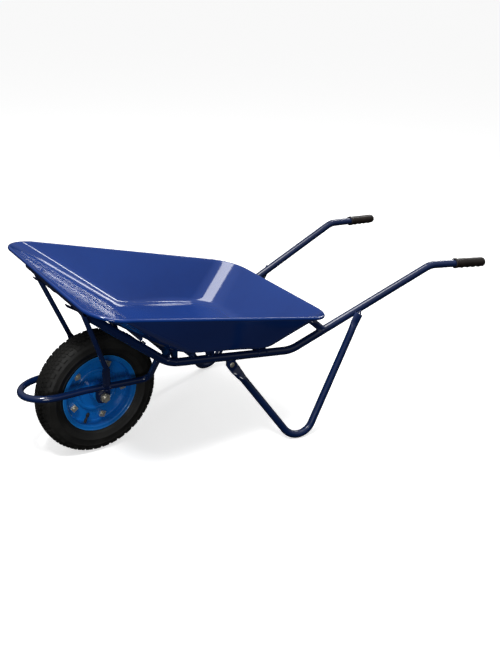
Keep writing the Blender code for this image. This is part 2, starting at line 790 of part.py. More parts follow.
def make_inner_tube():
    """Inflated tube inside the casing; the valve's hole opens its hollow."""
    sides = 8

    def ring(radius_y, radius_r):
        out = []
        for k in range(sides):
            angle = 2 * math.pi * (k + 0.5) / sides
            out.append((TUBE_MID_R + radius_r * math.cos(angle), radius_y * math.sin(angle)))
        return out
    skin = turned(ring(0.0262, 0.0288), 24, WHEEL_CENTRE)
    hollow = turned(ring(0.0244, 0.0270), 24, WHEEL_CENTRE)
    bmesh.ops.recalc_face_normals(skin, faces=skin.faces)
    bmesh.ops.recalc_face_normals(hollow, faces=hollow.faces)
    bmesh.ops.reverse_faces(hollow, faces=hollow.faces)
    joined = bpy.data.meshes.new("inner_tube")
    hollow.to_mesh(joined)
    skin.from_mesh(joined)
    hollow.free()
    bpy.data.meshes.remove(joined)
    mesh = bpy.data.meshes.new("inner_tube")
    skin.to_mesh(mesh)
    skin.free()
    mesh.shade_smooth()
    mesh.materials.append(material(*BLACK_RUBBER))
    mesh.transform(Matrix.Translation(-WHEEL_CENTRE))
    obj = bpy.data.objects.new("inner_tube", mesh)
    obj.location = WHEEL_CENTRE
    bpy.context.collection.objects.link(obj)
    return obj


VALVE_ANGLE = math.radians(RIM_BOLT_START + 180.0)
VALVE_DIR = Vector((math.cos(VALVE_ANGLE), 0, math.sin(VALVE_ANGLE)))
VALVE_Y = -0.0120
VALVE_R = 0.0042


def rim_profile(side):
    """Half of the split rim, as a closed outline of (radius, along) points."""
    t = 0.0020
    mid = [(0.0250, 0.0013), (0.0500, 0.0013), (0.0545, 0.0055), (0.0600, 0.0055), (0.0650, 0.0013),
           (0.0925, 0.0013), (0.0965, 0.0036), (0.0984, 0.0085), (0.0992, FLANGE_Y - 0.0050),
           (0.1012, FLANGE_Y - 0.0015), (FLANGE_R - 0.0035, FLANGE_Y - 0.0005), (FLANGE_R - 0.0010, FLANGE_Y + 0.0012)]
    left, right = [], []
    for i, (r, y) in enumerate(mid):
        a = mid[max(i - 1, 0)]
        b = mid[min(i + 1, len(mid) - 1)]
        dr, dy = b[0] - a[0], b[1] - a[1]
        size = math.hypot(dr, dy)
        nr, ny = -dy / size, dr / size
        left.append((r + nr * t / 2, y + ny * t / 2))
        right.append((r - nr * t / 2, y - ny * t / 2))
    ring = left + list(reversed(right))
    return [(r, side * y) for r, y in ring]


def make_rim_half(name, side):
    obj = finish(name, turned(rim_profile(side), 32, WHEEL_CENTRE), WHEEL_ENAMEL, WHEEL_CENTRE)
    tools = bmesh.new()
    for k in range(RIM_BOLTS):
        add_mesh(tools, rod_between(rim_bolt_at(k, -0.012), rim_bolt_at(k, 0.012), RIM_BOLT_M / 2 + 0.0008, 8))
    cut(obj, cutter("cut_" + name, tools))
    if side < 0:
        root = WHEEL_CENTRE + Vector((0, VALVE_Y, 0))
        hole = cutter("cut_valve_rim", rod_between(root + VALVE_DIR * 0.085, root + VALVE_DIR * 0.108,
                                                   VALVE_R + 2 * GAP, 12))
        cut(obj, hole)
    return obj


def add_mesh(target, source):
    """Append one bmesh to another."""
    bmesh.ops.recalc_face_normals(source, faces=source.faces)
    temp = bpy.data.meshes.new("temp")
    source.to_mesh(temp)
    source.free()
    target.from_mesh(temp)
    bpy.data.meshes.remove(temp)


def rim_bolt_at(k, y):
    angle = math.radians(RIM_BOLT_START + 360.0 * k / RIM_BOLTS)
    return WHEEL_CENTRE + Vector((RIM_BOLT_R * math.cos(angle), y, RIM_BOLT_R * math.sin(angle)))


def make_rim_bolt(k):
    """Hexagon bolt from the right; its square nut sits on the left half."""
    face = 0.0013 + 0.0010 + GAP
    seat = rim_bolt_at(k, face)
    radius = 0.017 / 2 / math.cos(math.pi / 6)
    bm = bmesh.new()
    add_mesh(bm, prism(seat, Vector((0, 1, 0)), radius, 0.0064, 6))
    head = finish("rim_bolt_%d" % (k + 1), bm, PLATED, WHEEL_CENTRE, smooth=False)
    shank = cutter("rim_bolt_shank_%d" % (k + 1), rod_between(seat + Vector((0, 0.001, 0)),
                                                              rim_bolt_at(k, -0.0140), RIM_BOLT_M / 2, 8))
    mod = head.modifiers.new("shank", 'BOOLEAN')
    mod.operation = 'UNION'
    mod.object = shank
    nut_base = rim_bolt_at(k, -face - GAP)
    nut = finish("rim_nut_%d" % (k + 1), prism(nut_base, Vector((0, -1, 0)), 0.0165 / math.sqrt(2), 0.0080, 4,
                                               math.radians(20 + 31 * k), RIM_BOLT_M / 2 + GAP), PLATED, WHEEL_CENTRE,
                 smooth=False)
    return head, nut


def make_hub():
    """Tube through the rim halves, with a seat for a bearing at each end."""
    end, seat, lip = 0.0400, 0.0175, 0.0120
    outline = [(0.0245, -end), (0.0245, end), (seat, end), (seat, end - lip), (0.0130, end - lip),
               (0.0130, -end + lip), (seat, -end + lip), (seat, -end)]
    return finish("hub", turned(outline, 24, WHEEL_CENTRE), WHEEL_ENAMEL, WHEEL_CENTRE)


def make_bearing(name, side):
    outline = [(AXLE_R + GAP, 0.0285), (0.0175 - GAP, 0.0285), (0.0175 - GAP, 0.0395), (AXLE_R + GAP, 0.0395)]
    outline = [(r, side * y) for r, y in outline]
    return finish(name, turned(outline, 24, WHEEL_CENTRE), BRIGHT, WHEEL_CENTRE)


def make_spacer(name, side):
    outline = [(AXLE_R + GAP, 0.0398), (0.0118, 0.0398), (0.0118, BRACKET_IN - GAP), (AXLE_R + GAP, BRACKET_IN - GAP)]
    outline = [(r, side * y) for r, y in outline]
    return finish(name, turned(outline, 20, WHEEL_CENTRE), PLATED)


def make_axle():
    bm = rod_between(at(0, -0.0735, AXLE_Z), at(0, 0.0735, AXLE_Z), AXLE_R, 20)
    return finish("axle", bm, PLATED)


def make_valve():
    """Valve stem with its cap, through the left rim half into the inner tube."""
    root = WHEEL_CENTRE + Vector((0, VALVE_Y, 0))
    steps = [(VALVE_R, 0.1052), (VALVE_R, 0.0890), (0.0034, 0.0885), (0.0034, 0.0800), (0.0046, 0.0798),
             (0.0046, 0.0705), (0.0036, 0.0695)]
    return finish("valve_stem", stack(root, VALVE_DIR, steps, 12), BLACK_RUBBER, WHEEL_CENTRE)


# ---------------------------------------------------------------- build
def build():
    for obj in list(bpy.data.objects):
        bpy.data.objects.remove(obj, do_unlink=True)

    tray = make_tray()
    for side, word in ((-1, "left"), (1, "right")):
        make_main_tube("main_tube_" + word, side)
    nose = make_nose_tube()
    copes = {"left": tube_cutter("cope_left", -1), "right": tube_cutter("cope_right", 1)}

    front = channel("front_cross_channel", 0.141, 0.167, 0.174, 0.0020, 0.036, 0.020)
    rear = channel("rear_cross_channel", 0.424, 0.452, 0.204, 0.0022, 0.016, 0.014)
    make_mid_cross_tube()
    rod = make_cross_rod()
    make_upper_cross_rod()
    support = make_rear_support()
    guard = make_guard()
    for piece in (front, rear, rod, support, guard):
        for word in ("left", "right"):
            cut(piece, copes[word])

    guard_tool = cutter("cope_guard", sweep(guard_path(), Vector((1, 0, 0)), 10, even(GUARD_R + 2 * GAP)))
    nose_tool = cutter("cope_nose", rod_between(at(NOSE_AXIS.x, -0.25, NOSE_AXIS.z), at(NOSE_AXIS.x, 0.25, NOSE_AXIS.z),
                                                NOSE_TUBE_R + 2 * GAP, 16))
    for side, word in ((-1, "left"), (1, "right")):
        stay = make_stay("stay_" + word, side)
        cut(stay, guard_tool)
        cut(stay, nose_tool)
        make_bracket("axle_bracket_" + word, side)
        leg = make_leg("leg_" + word, side)
        cut(leg, copes[word])
        make_grip("grip_" + word, side)

    # tray fixings: a screw into each end of the nose tube, two studs under the floor through each channel
    holes = {"tray": bmesh.new(), "nose": bmesh.new(), "front": bmesh.new(), "rear": bmesh.new()}
    for side, word in ((-1, "left"), (1, "right")):
        y = side * tube_y(NOSE_AXIS.x)
        wall = NOSE_AXIS - WALL_OUT * (NOSE_TUBE_R + GAP + SHEET)
        seat = at(wall.x, y, wall.z)
        make_bolt("nose_screw_" + word, seat, WALL_OUT, 0.0150)
        for key in ("tray", "nose"):
            add_mesh(holes[key], rod_between(seat - WALL_OUT * 0.008, seat + WALL_OUT * 0.013, BOLT_R + 2 * GAP, 12))
    number = 0
    for x, key, sheet in ((0.157, "front", 0.0020), (0.438, "rear", 0.0022)):
        for side in (-1, 1):
            number += 1
            seat = at(x, side * 0.105, floor_z(x))
            down = -FLOOR_UP
            thick = SHEET + GAP + sheet
            make_stud("tray_stud_%d" % number, seat, down, SHEET + GAP, 0.0150)
            make_hex_nut("tray_nut_%d" % number, seat + down * (thick + 0.0012), down, 0.013, 0.0065, BOLT_R)
            add_mesh(holes[key], rod_between(seat - down * 0.008, seat + down * 0.012, BOLT_R + 2 * GAP, 12))
    targets = {"tray": tray, "nose": nose, "front": front, "rear": rear}
    for key, tools in holes.items():
        cut(targets[key], cutter("holes_" + key, tools))

    # leg bolts: through the flattened front end of each leg and its lug
    for side, word in ((-1, "left"), (1, "right")):
        x, z = LEG_FRONT
        out = Vector((0, side, 0))
        seat = at(x, side * (tube_y(x) + LUG_HALF + GAP + 2 * LEG_FLAT), z)
        make_bolt("leg_bolt_" + word, seat + out * GAP, -out, 0.0200)
        make_hex_nut("leg_nut_" + word, at(x, side * (tube_y(x) - LUG_HALF - 2 * GAP), z), -out, 0.013, 0.0065, BOLT_R)
        tool = cutter("leg_hole_" + word, rod_between(seat + out * 0.01, seat - out * 0.02, BOLT_R + 2 * GAP, 12))
        cut(bpy.data.objects["leg_" + word], tool)
        lug = make_leg_lug("leg_lug_" + word, side)
        cut(lug, tool)
        cut(lug, copes[word])

    # axle and wheel
    make_axle()
    for side, word in ((-1, "left"), (1, "right")):
        make_hex_nut("axle_nut_" + word, at(0, side * (BRACKET_OUT + GAP), AXLE_Z), Vector((0, side, 0)),
                     0.024, 0.0125, AXLE_R)
        make_spacer("axle_spacer_" + word, side)

    spin = bpy.data.objects.new("wheel_axis", None)
    spin.location = WHEEL_CENTRE
    bpy.context.collection.objects.link(spin)
    turning = [make_tyre(), make_inner_tube(), make_rim_half("rim_left", -1), make_rim_half("rim_right", 1),
               make_hub(), make_bearing("bearing_left", -1), make_bearing("bearing_right", 1), make_valve()]
    for k in range(RIM_BOLTS):
        turning += make_rim_bolt(k)
    root = WHEEL_CENTRE + Vector((0, VALVE_Y, 0))
    valve_tool = cutter("cut_valve_tube", rod_between(root + VALVE_DIR * 0.098, root + VALVE_DIR * 0.1125,
                                                      VALVE_R + 2 * GAP, 12))
    cut(bpy.data.objects["inner_tube"], valve_tool)
    for piece in turning:
        under(piece, spin)


build()
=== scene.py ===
"""Looks for the wheelbarrow: enamelled tray and frame, plated fasteners, rubber tyre and grips.

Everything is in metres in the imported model's frame: the wheel is towards -X, the handles
towards +X and the left side is -Y.  The sizes below are the barrow's own driving sizes, and
stations named X are measured from the wheel's axle.
"""
import math
import random

import bmesh
import bpy
from mathutils import Matrix, Vector


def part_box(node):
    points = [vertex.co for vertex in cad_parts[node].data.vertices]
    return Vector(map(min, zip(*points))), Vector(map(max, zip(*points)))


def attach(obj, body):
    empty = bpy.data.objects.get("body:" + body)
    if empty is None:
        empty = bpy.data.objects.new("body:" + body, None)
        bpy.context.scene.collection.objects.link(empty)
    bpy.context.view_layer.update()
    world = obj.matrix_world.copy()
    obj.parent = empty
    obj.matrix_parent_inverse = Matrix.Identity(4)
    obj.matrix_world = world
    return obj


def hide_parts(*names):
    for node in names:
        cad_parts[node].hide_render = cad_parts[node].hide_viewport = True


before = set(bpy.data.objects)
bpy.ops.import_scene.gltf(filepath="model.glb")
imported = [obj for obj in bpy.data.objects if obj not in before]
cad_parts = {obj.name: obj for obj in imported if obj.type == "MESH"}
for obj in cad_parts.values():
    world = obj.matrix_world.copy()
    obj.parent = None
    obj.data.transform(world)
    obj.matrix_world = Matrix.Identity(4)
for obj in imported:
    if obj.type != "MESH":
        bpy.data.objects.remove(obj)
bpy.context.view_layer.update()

# ---------------------------------------------------------------- sizes shared with the frame
tyre_lo, tyre_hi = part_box("tyre")
AXLE_X = (tyre_lo.x + tyre_hi.x) / 2
AXLE_Z = (tyre_lo.z + tyre_hi.z) / 2
TYRE_R, TYRE_HALF_W = 0.177, 0.0405
FLANGE_R, FLANGE_Y = 0.1115, 0.030
RIM_BOLTS, RIM_BOLT_START = 5, 66.0
TUBE_R, TUBE_WALL = 0.012, 0.0016
TUBE_Y0, TUBE_SPREAD, TUBE_PINCH = 0.1425, 0.108, 0.055
TUBE_LINE = [(-0.1374, 0.5035), (0.1478, 0.2865), (0.5376, 0.2527), (1.0445, 0.4521),
             (1.2632, 0.4340)]
TUBE_BENDS = [0.0, 0.110, 0.100, 0.085, 0.0]
GRIP_R, GRIP_LENGTH = 0.0158, 0.128
LEG_R, LEG_FLAT, LEG_TOP = 0.011, 0.0026, (0.0135, 0.0062)
LEG_FRONT, LEG_CORNER, LEG_REAR = (0.3400, 0.2465), (0.5349, 0.2742), (0.7600, 0.3320)
LEG_BEND = 0.054
LUG_HALF = 0.0020
GUARD_R, GUARD_Y, GUARD_FRONT, GUARD_NOSE = 0.0095, 0.0665, -0.2180, 0.088
GUARD_Z, GUARD_FALL = 0.2123, 0.060
STAY_R, STAY_TOP_Y, STAY_KNEE = 0.007, 0.168, (-0.0252, 0.1221, 0.296)
NOSE_TUBE_R, NOSE_TUBE_HALF, NOSE_TUBE_AT = 0.011, 0.204, 0.016
SHEET, GAP = 0.0016, 0.0003
RIM_FRONT, RIM_REAR = (-0.1490, 0.3425, 0.5450), (0.6300, 0.2735, 0.3665)
FLOOR_FRONT, FLOOR_REAR = (0.1290, 0.2060, 0.3348), (0.4970, 0.2083, 0.2695)
RIM_CORNER_R, FLOOR_CORNER_R, FOLD, BEAD_R = 0.082, 0.086, 0.022, 0.0052
AXLE_R, VALVE_R, VALVE_Y = 0.008, 0.0042, -0.0120
BRACKET_IN, BRACKET_OUT, TAB_HALF = 0.0518, 0.0566, 0.0024
SUPPORT_R, SUPPORT_HALF, SUPPORT_RISE = 0.011, 0.203, 0.128
SUPPORT_FOOT_X, SUPPORT_BEND, REAR_SLOPE = 0.650, 0.024, 0.3934
FLOOR_HALF_SIZE = 160.0
CENTRE = Vector((AXLE_X, 0.0, AXLE_Z))
X, Y, Z = Vector((1, 0, 0)), Vector((0, 1, 0)), Vector((0, 0, 1))
SIDES = ((-1, "left"), (1, "right"))


# ---------------------------------------------------------------- materials
def nodes_of(name):
    mat = bpy.data.materials.new(name)
    mat.use_nodes = True
    tree = mat.node_tree
    return mat, tree, tree.nodes["Principled BSDF"]


def link(tree, a, out, b, into):
    tree.links.new(a.outputs[out], b.inputs[into])


def noise(tree, where, scale, detail=3.0, rough=0.55):
    tex = tree.nodes.new("ShaderNodeTexNoise")
    tex.inputs["Scale"].default_value = scale
    tex.inputs["Detail"].default_value = detail
    tex.inputs["Roughness"].default_value = rough
    link(tree, where, "Object", tex, "Vector")
    return tex


def ramp(tree, source, out, stops):
    node = tree.nodes.new("ShaderNodeValToRGB")
    node.color_ramp.elements[0].position = stops[0][0]
    node.color_ramp.elements[1].position = stops[-1][0]
    node.color_ramp.elements[0].color = (*stops[0][1], 1)
    node.color_ramp.elements[1].color = (*stops[-1][1], 1)
    for place, color in stops[1:-1]:
        node.color_ramp.elements.new(place).color = (*color, 1)
    link(tree, source, out, node, "Fac")
    return node


def grey(v):
    return (v, v, v)


def bump(tree, shader, height, out, strength, distance, before=None):
    node = tree.nodes.new("ShaderNodeBump")
    node.inputs["Strength"].default_value = strength
    node.inputs["Distance"].default_value = distance
    link(tree, height, out, node, "Height")
    if before is not None:
        link(tree, before, "Normal", node, "Normal")
    link(tree, node, "Normal", shader, "Normal")
    return node


def enamel(name, deep, pale, rough, peel):
    """Stoved gloss enamel: slight tone drift, painted highlights on sharp edges, uneven gloss and
    orange peel.
    """
    mat, tree, shader = nodes_of(name)
    where = tree.nodes.new("ShaderNodeTexCoord")
    drift = noise(tree, where, 3.2, 4.0)
    color = ramp(tree, drift, "Fac", [(0.32, deep), (0.70, pale)])
    # painted highlight: sharp convex edges (high pointiness) are lightened towards a pale blue
    edge = tree.nodes.new("ShaderNodeNewGeometry")
    painted_edge_highlight = ramp(tree, edge, "Pointiness", [(0.535, grey(0.0)), (0.60, grey(0.35))])
    mix = tree.nodes.new("ShaderNodeMixRGB")
    mix.inputs["Color2"].default_value = (*[min(1.0, c * 2.2 + 0.03) for c in pale], 1)
    link(tree, painted_edge_highlight, "Color", mix, "Fac")
    link(tree, color, "Color", mix, "Color1")
    link(tree, mix, "Color", shader, "Base Color")
    film = noise(tree, where, 14.0, 6.0, 0.7)
    dull = ramp(tree, film, "Fac", [(0.35, grey(rough * 0.8)), (0.72, grey(rough * 1.7))])
    link(tree, dull, "Color", shader, "Roughness")
    fine = noise(tree, where, 420.0, 2.0)
    wave = noise(tree, where, 26.0, 2.0)
    first = bump(tree, shader, wave, "Fac", 0.10, 0.0012)
    bump(tree, shader, fine, "Fac", peel, 0.0004, first)
    shader.inputs["Coat Weight"].default_value = 0.55
    shader.inputs["Coat Roughness"].default_value = 0.07
    return mat


def zinc(name, base, rough):
    mat, tree, shader = nodes_of(name)
    where = tree.nodes.new("ShaderNodeTexCoord")
    patch = noise(tree, where, 160.0, 5.0, 0.65)
    color = ramp(tree, patch, "Fac", [(0.3, [c * 0.72 for c in base]), (0.65, base)])
    link(tree, color, "Color", shader, "Base Color")
    dull = ramp(tree, patch, "Fac", [(0.3, grey(rough * 1.35)), (0.7, grey(rough * 0.75))])
    link(tree, dull, "Color", shader, "Roughness")
    grain = noise(tree, where, 900.0, 3.0)
    bump(tree, shader, grain, "Fac", 0.12, 0.0003)
    shader.inputs["Metallic"].default_value = 0.85
    return mat


def rubber(name, base, dusty, rough, grain_scale, grain_strength):
    mat, tree, shader = nodes_of(name)
    where = tree.nodes.new("ShaderNodeTexCoord")
    patch = noise(tree, where, 22.0, 6.0, 0.68)
    color = ramp(tree, patch, "Fac", [(0.42, base), (0.78, dusty)])
    link(tree, color, "Color", shader, "Base Color")
    dull = ramp(tree, patch, "Fac", [(0.35, grey(rough * 0.85)),
                                     (0.75, grey(min(1.0, rough * 1.25)))])
    link(tree, dull, "Color", shader, "Roughness")
    grain = noise(tree, where, grain_scale, 3.0)
    bump(tree, shader, grain, "Fac", grain_strength, 0.0004)
    return mat


TRAY = enamel("tray_enamel", (0.0018, 0.031, 0.195), (0.0028, 0.042, 0.245), 0.10, 0.05)
FRAME = enamel("frame_enamel", (0.0022, 0.012, 0.060), (0.0034, 0.018, 0.088), 0.15, 0.10)
WHEEL = enamel("wheel_enamel", (0.003, 0.150, 0.560), (0.006, 0.190, 0.660), 0.22, 0.10)
PLATED = zinc("zinc_plate", (0.90, 0.87, 0.74), 0.42)
BRIGHT = zinc("bearing_steel", (0.52, 0.52, 0.52), 0.28)
TYRE = rubber("tyre_rubber", (0.0045, 0.0045, 0.0040), (0.011, 0.0105, 0.0085), 0.62, 700.0, 0.25)
BUTYL = rubber("butyl", (0.012, 0.012, 0.012), (0.020, 0.020, 0.020), 0.50, 500.0, 0.15)
GRIP = rubber("grip_rubber", (0.012, 0.0085, 0.0075), (0.026, 0.018, 0.015), 0.42, 1100.0, 0.30)


# ---------------------------------------------------------------- geometry helpers
def at(x, y, z):
    return Vector((x + AXLE_X, y, z))


def mirrored(points):
    return [Vector((p.x, -p.y, p.z)) for p in points]


def corner_arc(before, here, after, radius, steps):
    a = (before - here).normalized()
    b = (after - here).normalized()
    half = math.acos(max(-1.0, min(1.0, a.dot(b)))) / 2
    reach = radius / math.tan(half)
    centre = here + (a + b).normalized() * (radius / math.sin(half))
    start = here + a * reach - centre
    stop = here + b * reach - centre
    angle = start.angle(stop)
    out = []
    for i in range(steps + 1):
        t = i / steps
        blend = start * math.sin((1 - t) * angle) + stop * math.sin(t * angle)
        out.append(centre + blend / math.sin(angle))
    return out


def rounded(points, radii, steps=16):
    out = [points[0].copy()]
    for i in range(1, len(points) - 1):
        out += corner_arc(points[i - 1], points[i], points[i + 1], radii[i], steps)
    out.append(points[-1].copy())
    return out


def rounded_ring(points, radius, steps=20):
    out = []
    count = len(points)
    for i in range(count):
        out += corner_arc(points[i - 1], points[i], points[(i + 1) % count], radius, steps)
    return out


def bridge(bm, one, two):
    count = len(one)
    for i in range(count):
        j = (i + 1) % count
        bm.faces.new((one[i], one[j], two[j], two[i]))


def sweep(path, sizes, across, sides=28, wall=0.0, bm=None):
    """Sweep an oval section along a path; sizes holds (half width, half thickness) per point."""
    bm = bm or bmesh.new()
    count = len(path)
    tangents = []
    for i in range(count):
        tangents.append((path[min(i + 1, count - 1)] - path[max(i - 1, 0)]).normalized())
    side = (across - tangents[0] * across.dot(tangents[0])).normalized()
    skins = []
    for inset in ((0.0, wall) if wall else (0.0,)):
        rings = []
        width = side.copy()
        for i in range(count):
            width = (width - tangents[i] * width.dot(tangents[i])).normalized()
            depth = tangents[i].cross(width)
            a, b = sizes[i]
            ring = []
            for k in range(sides):
                angle = 2 * math.pi * (k + 0.5) / sides
                ring.append(bm.verts.new(path[i] + width * (math.cos(angle) * (a - inset))
                                         + depth * (math.sin(angle) * (b - inset))))
            rings.append(ring)
        for one, two in zip(rings[:-1], rings[1:]):
            bridge(bm, one, two)
        skins.append(rings)
    if wall:
        bridge(bm, skins[0][0], skins[1][0])
        bridge(bm, skins[0][-1], skins[1][-1])
    else:
        bm.faces.new(skins[0][0])
        bm.faces.new(skins[0][-1])
    return bm


def dense(path, sizes, steps=8):
    """Add points where the section changes, easing from one size to the next."""
    out_p, out_s = [path[0]], [sizes[0]]
    for i in range(len(path) - 1):
        same = abs(sizes[i][0] - sizes[i + 1][0]) + abs(sizes[i][1] - sizes[i + 1][1]) < 1e-6
        n = 1 if same else steps
        for k in range(1, n + 1):
            t = k / n
            ease = t * t * (3 - 2 * t)
            out_p.append(path[i].lerp(path[i + 1], t))
            out_s.append((sizes[i][0] + (sizes[i + 1][0] - sizes[i][0]) * ease,
                          sizes[i][1] + (sizes[i + 1][1] - sizes[i][1]) * ease))
    return out_p, out_s


def frame_for(axis):
    guess = Z if abs(axis.z) < 0.9 else Vector((1, 0, 0))
    u = (guess - axis * guess.dot(axis)).normalized()
    return u, axis.cross(u)


def turned(profile, sides, centre, axis=Vector((0, 1, 0)), ripple=None):
    """Spin a closed outline of (radius, along) points about an axis."""
    u, v = frame_for(axis)
    bm = bmesh.new()
    rings = []
    for k in range(sides):
        angle = 2 * math.pi * k / sides
        ring = []
        for j, (radius, along) in enumerate(profile):
            r = radius + (ripple(j, angle) if ripple else 0.0)
            ring.append(bm.verts.new(centre + axis * along + u * (math.cos(angle) * r)
                                     + v * (math.sin(angle) * r)))
        rings.append(ring)
    for k in range(sides):
        bridge(bm, rings[k], rings[(k + 1) % sides])
    return bm


def smooth_line(points, steps=5):
    """Catmull-Rom through (radius, along) points, for pressed and moulded outlines."""
    out = []
    n = len(points)
    for i in range(n - 1):
        p0, p1, p2, p3 = points[max(i - 1, 0)], points[i], points[i + 1], points[min(i + 2, n - 1)]
        for k in range(steps):
            t = k / steps
            out.append(tuple(0.5 * (2 * b + (c - a) * t + (2 * a - 5 * b + 4 * c - d) * t * t
                                    + (3 * b - a - 3 * c + d) * t ** 3)
                             for a, b, c, d in zip(p0, p1, p2, p3)))
    out.append(points[-1])
    return out


def make(name, bm, mat, body, slot, *nodes, sharp=38.0):
    """A visible piece: its mesh, its finish, the body it rides on and the node it stands for."""
    bmesh.ops.recalc_face_normals(bm, faces=bm.faces)
    mesh = bpy.data.meshes.new(name)
    bm.to_mesh(mesh)
    bm.free()
    mesh.shade_smooth()
    mesh.set_sharp_from_angle(angle=math.radians(sharp))
    mesh.materials.append(mat)
    obj = bpy.data.objects.new(name, mesh)
    bpy.context.collection.objects.link(obj)
    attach(obj, body)
    if nodes:
        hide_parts(*nodes)
    return obj


def framework(name, bm, *nodes, sharp=38.0):
    return make(name, bm, FRAME, "frame", "frame_enamel", *nodes, sharp=sharp)


def softened(node, width, mat, body, slot, segments=2):
    """The node's own shape with its edges eased, for pressed plates, nuts and bolt heads."""
    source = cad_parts[node]
    bm = bmesh.new()
    bm.from_mesh(source.data)
    bm.transform(source.matrix_world)
    bmesh.ops.remove_doubles(bm, verts=bm.verts, dist=1e-6)
    bmesh.ops.dissolve_limit(bm, angle_limit=math.radians(1.0), verts=bm.verts, edges=bm.edges)
    obj = make("v_" + node, bm, mat, body, slot, node)
    mod = obj.modifiers.new("eased", "BEVEL")
    mod.width = width
    mod.segments = segments
    mod.limit_method = "ANGLE"
    mod.angle_limit = math.radians(35)
    mod.harden_normals = True
    return obj


# ---------------------------------------------------------------- paths of the frame
def tube_y(x):
    return TUBE_Y0 + TUBE_SPREAD * x - TUBE_PINCH * max(0.0, TUBE_LINE[1][0] - x)


def tube_point(x, z):
    return at(x, tube_y(x), z)


FRONT_A = Vector((TUBE_LINE[0][0], 0, TUBE_LINE[0][1]))
FRONT_B = Vector((TUBE_LINE[1][0], 0, TUBE_LINE[1][1]))
RUN = (FRONT_B - FRONT_A).normalized()
WALL = Vector(RIM_FRONT) - Vector(FLOOR_FRONT)
WALL.y = 0
WALL.normalize()
WALL_OUT = Vector((WALL.z, 0, -WALL.x)) if WALL.x > 0 else Vector((-abs(WALL.z), 0, -abs(WALL.x)))
FOOT = Vector((FLOOR_FRONT[0], 0, FLOOR_FRONT[2]))
NOSE_START = FRONT_A + RUN * NOSE_TUBE_AT
NOSE_AXIS = NOSE_START - WALL_OUT * ((NOSE_START - FOOT).dot(WALL_OUT) - SHEET - GAP - NOSE_TUBE_R)
FLOOR_RISE = (FLOOR_REAR[2] - FLOOR_FRONT[2]) / (FLOOR_REAR[0] - FLOOR_FRONT[0])
FLOOR_UP = Vector((-FLOOR_RISE, 0, 1)).normalized()


def main_path():
    below = NOSE_AXIS + WALL_OUT * (NOSE_TUBE_R + GAP + TAB_HALF)
    tip = below - RUN * 0.007 + WALL_OUT * 0.003
    flat_end = below + RUN * 0.022
    full = FRONT_A + RUN * 0.088
    line = [full] + [Vector((x, 0, z)) for x, z in TUBE_LINE[1:]]
    curve = rounded(line, TUBE_BENDS)
    path = [tip, flat_end, flat_end.lerp(full, 0.5)] + curve
    sizes = [(0.0172, TAB_HALF)] * 2 + [(0.0152, 0.0078)] + [(TUBE_R, TUBE_R)] * len(curve)
    return dense([tube_point(p.x, p.z) for p in path], sizes)


def guard_z(x):
    return GUARD_Z - GUARD_FALL * max(x, -0.060)


def guard_path():
    arm_end = at(0.133, GUARD_Y, guard_z(0.133))
    x_top = 0.118
    top = at(x_top, tube_y(x_top), FRONT_A.z + (x_top - FRONT_A.x) * RUN.z / RUN.x)
    nose = []
    for k in range(1, 40):
        angle = math.pi * k / 40
        x = GUARD_FRONT + GUARD_NOSE - GUARD_NOSE * math.sin(angle)
        nose.append(at(x, GUARD_Y * math.cos(angle), guard_z(x)))
    middle = at(-0.060, GUARD_Y, guard_z(-0.060))
    right = corner_arc(top, arm_end, middle, 0.024, 12)
    left = [Vector((p.x, -p.y, p.z)) for p in reversed(right)]
    return [top] + right + [middle] + nose + mirrored([middle]) + left + mirrored([top])


def stay_path():
    low = at(0.0, GUARD_Y + 0.004, guard_z(0.0) + 0.002)
    knee = at(*STAY_KNEE)
    high = at(NOSE_AXIS.x, STAY_TOP_Y, NOSE_AXIS.z)
    return [low] + corner_arc(low, knee, high, 0.060, 14) + [high]


def leg_path():
    front = Vector((LEG_FRONT[0], tube_y(LEG_FRONT[0]) + LUG_HALF + GAP + LEG_FLAT, LEG_FRONT[1]))
    rear = Vector((LEG_REAR[0], tube_y(LEG_REAR[0]) + TUBE_R + 2 * GAP + LEG_TOP[1], LEG_REAR[1]))
    foot = Vector((*LEG_CORNER, 0.0))
    for _ in range(12):
        line = rounded([front, foot, rear], [0, LEG_BEND, 0], 24)
        foot.z += LEG_R + 0.0002 - min(p.z for p in line)
    ends = []
    for end, above, below in ((front, 0.013, 0.018), (rear, 0.007, 0.022)):
        axis = (foot - end).normalized()
        flat = Vector((axis.x, 0, axis.z)).normalized()
        round_at = end + axis * (below + 0.042)
        low = end + flat * below
        ends.append([end - flat * above, low, low.lerp(round_at, 0.5), round_at])
    line = rounded([ends[0][3], foot, ends[1][3]], [0, LEG_BEND, 0], 24)
    path = [at(*p) for p in ends[0][:3] + line + list(reversed(ends[1][:3]))]
    sizes = [(0.0155, LEG_FLAT)] * 2 + [(0.0135, 0.0070)] + [(LEG_R, LEG_R)] * len(line)
    sizes += [(LEG_R, LEG_R)] + [LEG_TOP] * 2
    across = (path[3] - path[0]).cross(Vector((0, 1, 0)))
    path, sizes = dense(path, sizes)
    return path, sizes, across


